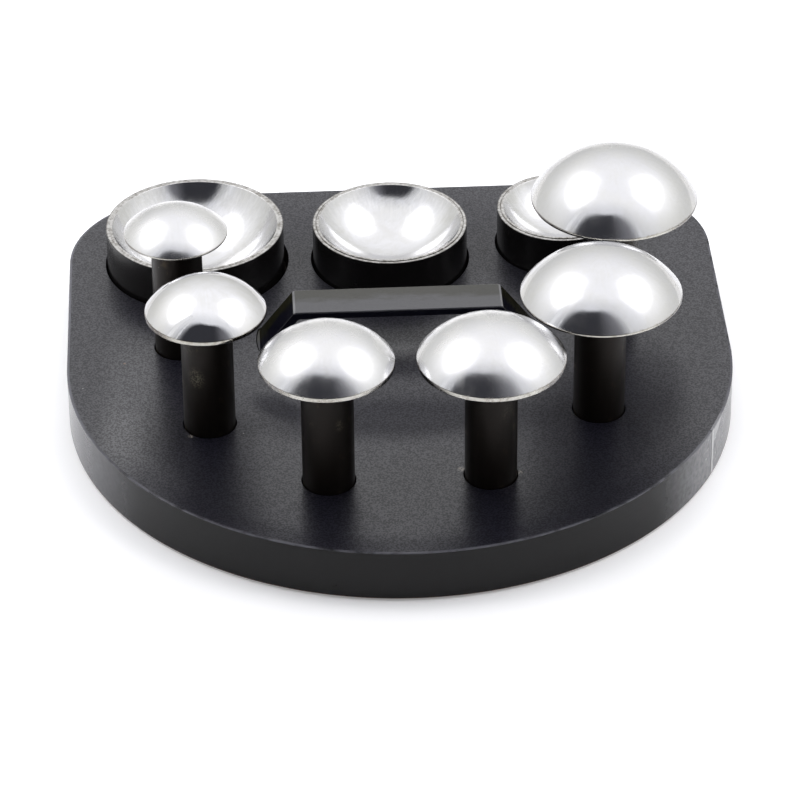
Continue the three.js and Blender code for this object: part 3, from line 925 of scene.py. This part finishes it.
def handlePockets(top):
    floor = top - handle["footDepth"] - handle["footDrop"]
    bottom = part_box("stand_board")[0].z
    ledge = bottom + handle["boreDepth"]  # the screw's head comes up to here
    wide, narrow = handle["boreRadius"], handle["screwRadius"]
    cutters = []
    for side in (-1, 1):
        cutters.append(raised(footOutline(handle["pocketClearance"], side), floor, top + mm))
        pen = turnedPen(0, bottom - mm)
        pen.line((wide, 0, bottom - mm)).line((wide, 0, ledge))
        pen.line((narrow, 0, ledge)).line((narrow, 0, floor + mm)).line((0, 0, floor + mm))
        cutters.append(turn(pen, (side * footMiddle, handleBack), 64))
    return cutters


def finishHandle(sheet):
    place = sheet.millimetres()
    spark = sheet.clouds(place, 0.4, 2, 0.5)
    cloud = sheet.clouds(sheet.millimetres((0, 0, 0), (0.35, 1.1, 1)), 9, 4, 0.62)
    scratches = sheet.clouds(sheet.millimetres((0, 0, 0), (0.15, 5, 2), (0, 0, 6)), 1.3, 2)
    scratches = sheet.fade(scratches, 0.68, 0.78)
    dust = sheet.dots(place, 5, 0.14, 0.035)
    x, y, z = sheet.split(place)
    middle = handleBack / mm
    # the rear half of the top is browner and less glossy, with a wavy edge
    rearHalf = sheet.fade(y + (cloud - 0.5) * 14, middle - 1.5, middle + 2.5)
    colour = sheet.mix(rearHalf, handle["black"], handle["dulled"])
    colour = sheet.mix(dust * 0.5, colour, (0.25, 0.25, 0.25))
    upper = sheet.fade(z, handleHigh.z / mm - 0.9, handleHigh.z / mm - 0.5)
    # painted highlight: the creases and the top's front lip are lightened in broken lines as glints
    creases = sheet.fade(abs(abs(x) - handle["topHalf"] / mm), 0.7, 0.2) * upper
    lip = sheet.fade(y, handleLow.y / mm + 1.1, handleLow.y / mm + 0.6) * upper
    edges = (creases + lip * 0.5) * sheet.fade(cloud, 0.2, 0.6)
    colour = sheet.mix(edges, colour, handle["lightened"])
    return {
        "Base Color": colour,
        "Roughness": 0.14 + sheet.fade(cloud, 0.3, 0.7) * 0.06 + scratches * 0.08,
        "IOR": 1.38,
        "Coat Weight": upper * (1 - rearHalf * 0.6 + (spark - 0.5) * 0.9),
        "Coat Roughness": 0.1,
        "Normal": sheet.bump(spark * 0.7 + cloud * 2 + scratches * 0.6, 0.02),
    }


def makeHandle():
    top = handleHigh.z
    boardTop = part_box("stand_board")[1].z
    slope = math.atan2(top - boardTop, handle["baseHalf"] - handle["topHalf"])
    sink = handle["footDepth"] / 2
    root = boardTop - sink  # the legs end inside the feet
    outerTop = handle["topHalf"]
    outerRoot = handle["baseHalf"] + sink / math.tan(slope)
    innerTop = outerTop - handle["strap"] * math.tan(slope / 2)
    innerRoot = outerRoot - handle["strap"] / math.sin(slope)
    ceiling = top - handle["strap"]
    width = handleHigh.y - handleLow.y - handle["strapInset"]
    pen = Pen((outerRoot, 0, root), (0, 1, 0))
    pen.line((outerTop, 0, top)).line((-outerTop, 0, top))
    pen.line((-outerRoot, 0, root)).line((-innerRoot, 0, root))
    pen.line((-innerTop, 0, ceiling)).line((innerTop, 0, ceiling))
    pen.line((innerRoot, 0, root)).close()
    bm = pen.bm
    face = bmesh.ops.contextual_create(bm, geom=bm.edges[:])["faces"][0]
    made = bmesh.ops.extrude_face_region(bm, geom=[face])
    bmesh.ops.translate(bm, verts=onlyVerts(made["geom"]), vec=(0, width, 0))
    bmesh.ops.translate(bm, verts=bm.verts, vec=(0, handleBack - width / 2, 0))
    bmesh.ops.recalc_face_normals(bm, faces=bm.faces)
    across = [edge for edge in bm.edges if abs(edge.verts[0].co.y - edge.verts[1].co.y) > hair]
    roundEdges(bm, across, handle["crease"], 3)
    along = [edge for edge in bm.edges if abs(edge.verts[0].co.y - edge.verts[1].co.y) < hair]
    along = [edge for edge in along if edge.calc_face_angle(0) > sharpTurn]
    roundEdges(bm, along, handle["rounding"], 4)
    footTop = boardTop - handle["footDrop"]
    footBottom = boardTop - handle["footDepth"]
    feet = [raised(footOutline(0, side), footBottom, footTop) for side in (-1, 1)]
    bm = carve(bm, feet, "UNION")
    material = makeMaterial("mouldedBlack", finishHandle)
    dress(bm, "handle_moulding", "carry_handle", "stand", material, even=True)


makeBoard()
makeHandle()
print("board and handle made")


band = {
    "seamGap": 0.5 * mm,
    "rounding": 0.35 * mm,
    "black": (0.0022, 0.002, 0.0022),
    "grain": (0.0046, 0.0042, 0.0046),
    # lighter around the seam, partly rubbed and partly painted sheen
    "lightened": (0.24, 0.24, 0.25),
    # painted reflection in a wedge beside the seam
    "wedgeSheen": (0.34, 0.34, 0.345),
    "seam": (0.40, 0.40, 0.40),
    # painted highlight along the trimmed top edge
    "trimmedEdgeSheen": (0.13, 0.13, 0.15),
    "core": (0.12, 0.055, 0.035),
}


def finishBand(sheet):
    place = sheet.millimetres()
    x, y, z = sheet.split(place)
    lines = sheet.clouds(sheet.millimetres((0, 0, 0), (0.04, 0.04, 2.5)), 1.6, 3, 0.6)
    grain = sheet.clouds(place, 0.6, 3)
    scuff = sheet.fade(sheet.clouds(place, 8, 5, 0.65), 0.62, 0.75)
    rough = sheet.clouds(place, 2.2, 4, 0.62)
    top = boardHigh.z / mm
    # painted highlight along the trimmed top edge, broken by clouds
    trimmedEdgeSheen = sheet.fade(z, top - 0.5, top - 0.2)
    trimmedEdgeSheen = trimmedEdgeSheen * sheet.fade(sheet.clouds(place, 7, 4, 0.6), 0.25, 0.6)
    seamAngle = math.radians(board["seamBearing"])
    along = (sheet.sum("ARCTAN2", y - roundMiddle / mm, x) - seamAngle) * (halfWidth / mm)
    atSeam = sheet.fade(abs(along - 1.3), 1.3, 0.9) * sheet.fade(rough, 0.2, 0.4)
    # painted reflection in a wedge to the right of its seam; around the seam the band is lighter,
    # partly rubbed and partly painted sheen, and on the left it has painted sheen
    wedgeSheen = sheet.fade(along, 0.2, 0.6) * sheet.fade(along, 15, 11)
    wedgeSheen = wedgeSheen * sheet.fade(z - along * 0.62, 12.5, 14.5)
    # partly rubbing and partly painted sheen around the seam
    nearSeam = sheet.fade(abs(along), 46, 4)
    nearSeam = nearSeam * (0.45 + sheet.fade(rough + scuff * 0.3, 0.1, 0.75) * 0.5)
    # painted sheen on the band's left side
    leftSheen = sheet.fade(x, -98, -132) * (0.7 + rough * 0.6)
    colour = sheet.mix(grain, band["black"], band["grain"])
    colour = sheet.mix(scuff * 0.15, colour, (0.05, 0.046, 0.046))
    colour = sheet.mix(leftSheen * 0.4, colour, (0.24, 0.24, 0.26))
    colour = sheet.mix(nearSeam * 0.8, colour, band["lightened"])
    colour = sheet.mix(wedgeSheen * 0.7, colour, band["wedgeSheen"])
    colour = sheet.mix(atSeam * 0.85, colour, band["seam"])
    colour = sheet.mix(trimmedEdgeSheen * 0.6, colour, band["trimmedEdgeSheen"])
    lowest = sheet.fade(z, boardLow.z / mm + 0.5, boardLow.z / mm + 0.25)
    colour = sheet.mix(lowest * 0.7, colour, band["core"])  # the board shows below the band
    return {
        "Base Color": colour,
        "Roughness": 0.12 + lines * 0.1 + scuff * 0.08 + nearSeam * 0.1,
        "IOR": 1.31,
        "Normal": sheet.bump(lines + grain * 0.3, 0.025),
    }


def makeBand():
    low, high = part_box("edge_band")
    gap = math.degrees(band["seamGap"] / halfWidth)
    bm = boardOutline(0, board["seamBearing"] + gap / 2, gap).bm
    bmesh.ops.translate(bm, verts=bm.verts, vec=(0, 0, low.z))
    made = bmesh.ops.extrude_edge_only(bm, edges=bm.edges[:])
    bmesh.ops.translate(bm, verts=onlyVerts(made["geom"]), vec=(0, 0, high.z - low.z))
    bmesh.ops.recalc_face_normals(bm, faces=bm.faces)
    if bm.faces[:][0].normal.dot(bm.faces[:][0].calc_center_median()) < 0:
        bmesh.ops.reverse_faces(bm, faces=bm.faces)
    bmesh.ops.solidify(bm, geom=bm.faces[:], thickness=board["bandThickness"])
    bmesh.ops.recalc_face_normals(bm, faces=bm.faces)
    inner = halfWidth - board["bandThickness"] / 2
    rims = []
    for edge in bm.edges:
        first, second = (vert.co for vert in edge.verts)
        level = abs(first.z - second.z) < hair
        outside = outwardReach((first + second) / 2) > inner
        if level and outside and edge.calc_face_angle(0) > sharpTurn:
            rims.append(edge)
    roundEdges(bm, rims, band["rounding"], 3)
    material = makeMaterial("blackEdging", finishBand)
    dress(bm, "band_strip", "edge_band", "stand", material, even=True)


makeBand()

# Underneath: rubber pads and the two screws that hold the handle

pad = {
    "steps": 64,
    "rounding": 0.3 * mm,
    "dish": 0.25 * mm,
    "rimShares": (0.8, 0.76),  # where the dish begins, and where it is at its full depth
}

screw = {
    "steps": 48,
    "headRadius": 4.6 * mm,
    "headHeight": 3.2 * mm,
    "headRound": 1 * mm,
    "plainLength": 2 * mm,
    "bareLength": 3 * mm,  # free of thread at both ends together
    "threadRadius": 2.5 * mm,
    "threadDepth": 0.35 * mm,
    "pitch": 1.25 * mm,  # the thread is made as separate rings
    "driveRadius": 1.45 * mm,
    "driveDepth": 1.8 * mm,
}


def finishPad(sheet):
    place = sheet.millimetres()
    grain = sheet.clouds(place, 0.5, 3)
    lint = sheet.dots(place, 2.2, 0.25, 0.06)
    colour = sheet.mix(grain, (0.022, 0.022, 0.023), (0.04, 0.04, 0.041))
    colour = sheet.mix(lint * 0.6, colour, (0.3, 0.29, 0.27))
    return {
        "Base Color": colour,
        "Roughness": 0.72 + grain * 0.12,
        "Normal": sheet.bump(grain + lint, 0.04),
    }


def finishScrew(sheet):
    place = sheet.millimetres()
    spangle = sheet.clouds(place, 1.1, 3, 0.6)
    dull = sheet.fade(sheet.clouds(place, 2.4, 4, 0.6), 0.5, 0.68)
    colour = sheet.mix(spangle, (0.50, 0.51, 0.53), (0.64, 0.65, 0.66))
    colour = sheet.mix(dull * 0.5, colour, (0.36, 0.36, 0.35))
    return {
        "Base Color": colour,
        "Metallic": 1.0,
        "Roughness": 0.27 + dull * 0.22 + spangle * 0.06,
        "Normal": sheet.bump(spangle, 0.01),
    }


def makePad(number, material):
    node = f"base_pad_{number}"
    x, y, low, high = middleOf(node)
    radius = radiusOf(node)
    start, full = (radius * share for share in pad["rimShares"])
    floor = low + pad["dish"]
    pen = turnedPen(0, high)
    pen.line((radius, 0, high)).line((radius, 0, low), pad["rounding"])
    pen.line((start, 0, low), 0.2 * mm).line((full, 0, floor), 0.2 * mm).line((0, 0, floor))
    bm = turn(pen, (x, y), pad["steps"])
    dress(bm, f"pad_{number}", node, "stand", material, even=True)


def makeScrew(name, material):
    node = f"handle_screw_{name}"
    x, y, low, high = middleOf(node)
    head, radius, pitch = screw["headRadius"], screw["threadRadius"], screw["pitch"]
    headTop = low + screw["headHeight"]
    plainTop = headTop + screw["plainLength"]
    root = radius - screw["threadDepth"]
    pen = turnedPen(0, low)
    pen.line((head, 0, low), screw["headRound"]).line((head, 0, headTop), 0.15 * mm)
    pen.line((radius, 0, headTop)).line((radius, 0, plainTop), 0.1 * mm)
    for step in range(int((high - headTop - screw["bareLength"]) / pitch)):
        level = plainTop + step * pitch
        pen.line((root, 0, level + pitch * 0.4)).line((root, 0, level + pitch * 0.6))
        pen.line((radius, 0, level + pitch))
    pen.line((root, 0, high)).line((0, 0, high))
    bm = turn(pen, (x, y), screw["steps"])
    drive = bmesh.new()
    size = screw["driveRadius"]
    bmesh.ops.create_cone(drive, cap_ends=True, segments=6, radius1=size, radius2=size,
                          depth=2 * screw["driveDepth"])
    bmesh.ops.translate(drive, verts=drive.verts, vec=(x, y, low))
    bm = carve(bm, [drive])
    dress(bm, f"screw_{name}", node, "stand", material)


padMaterial = makeMaterial("greyRubber", finishPad)
for number in range(1, 5):
    makePad(number, padMaterial)
screwMaterial = makeMaterial("zincPlate", finishScrew)
for side in ("left", "right"):
    makeScrew(side, screwMaterial)
print("edge band, pads and screws made")
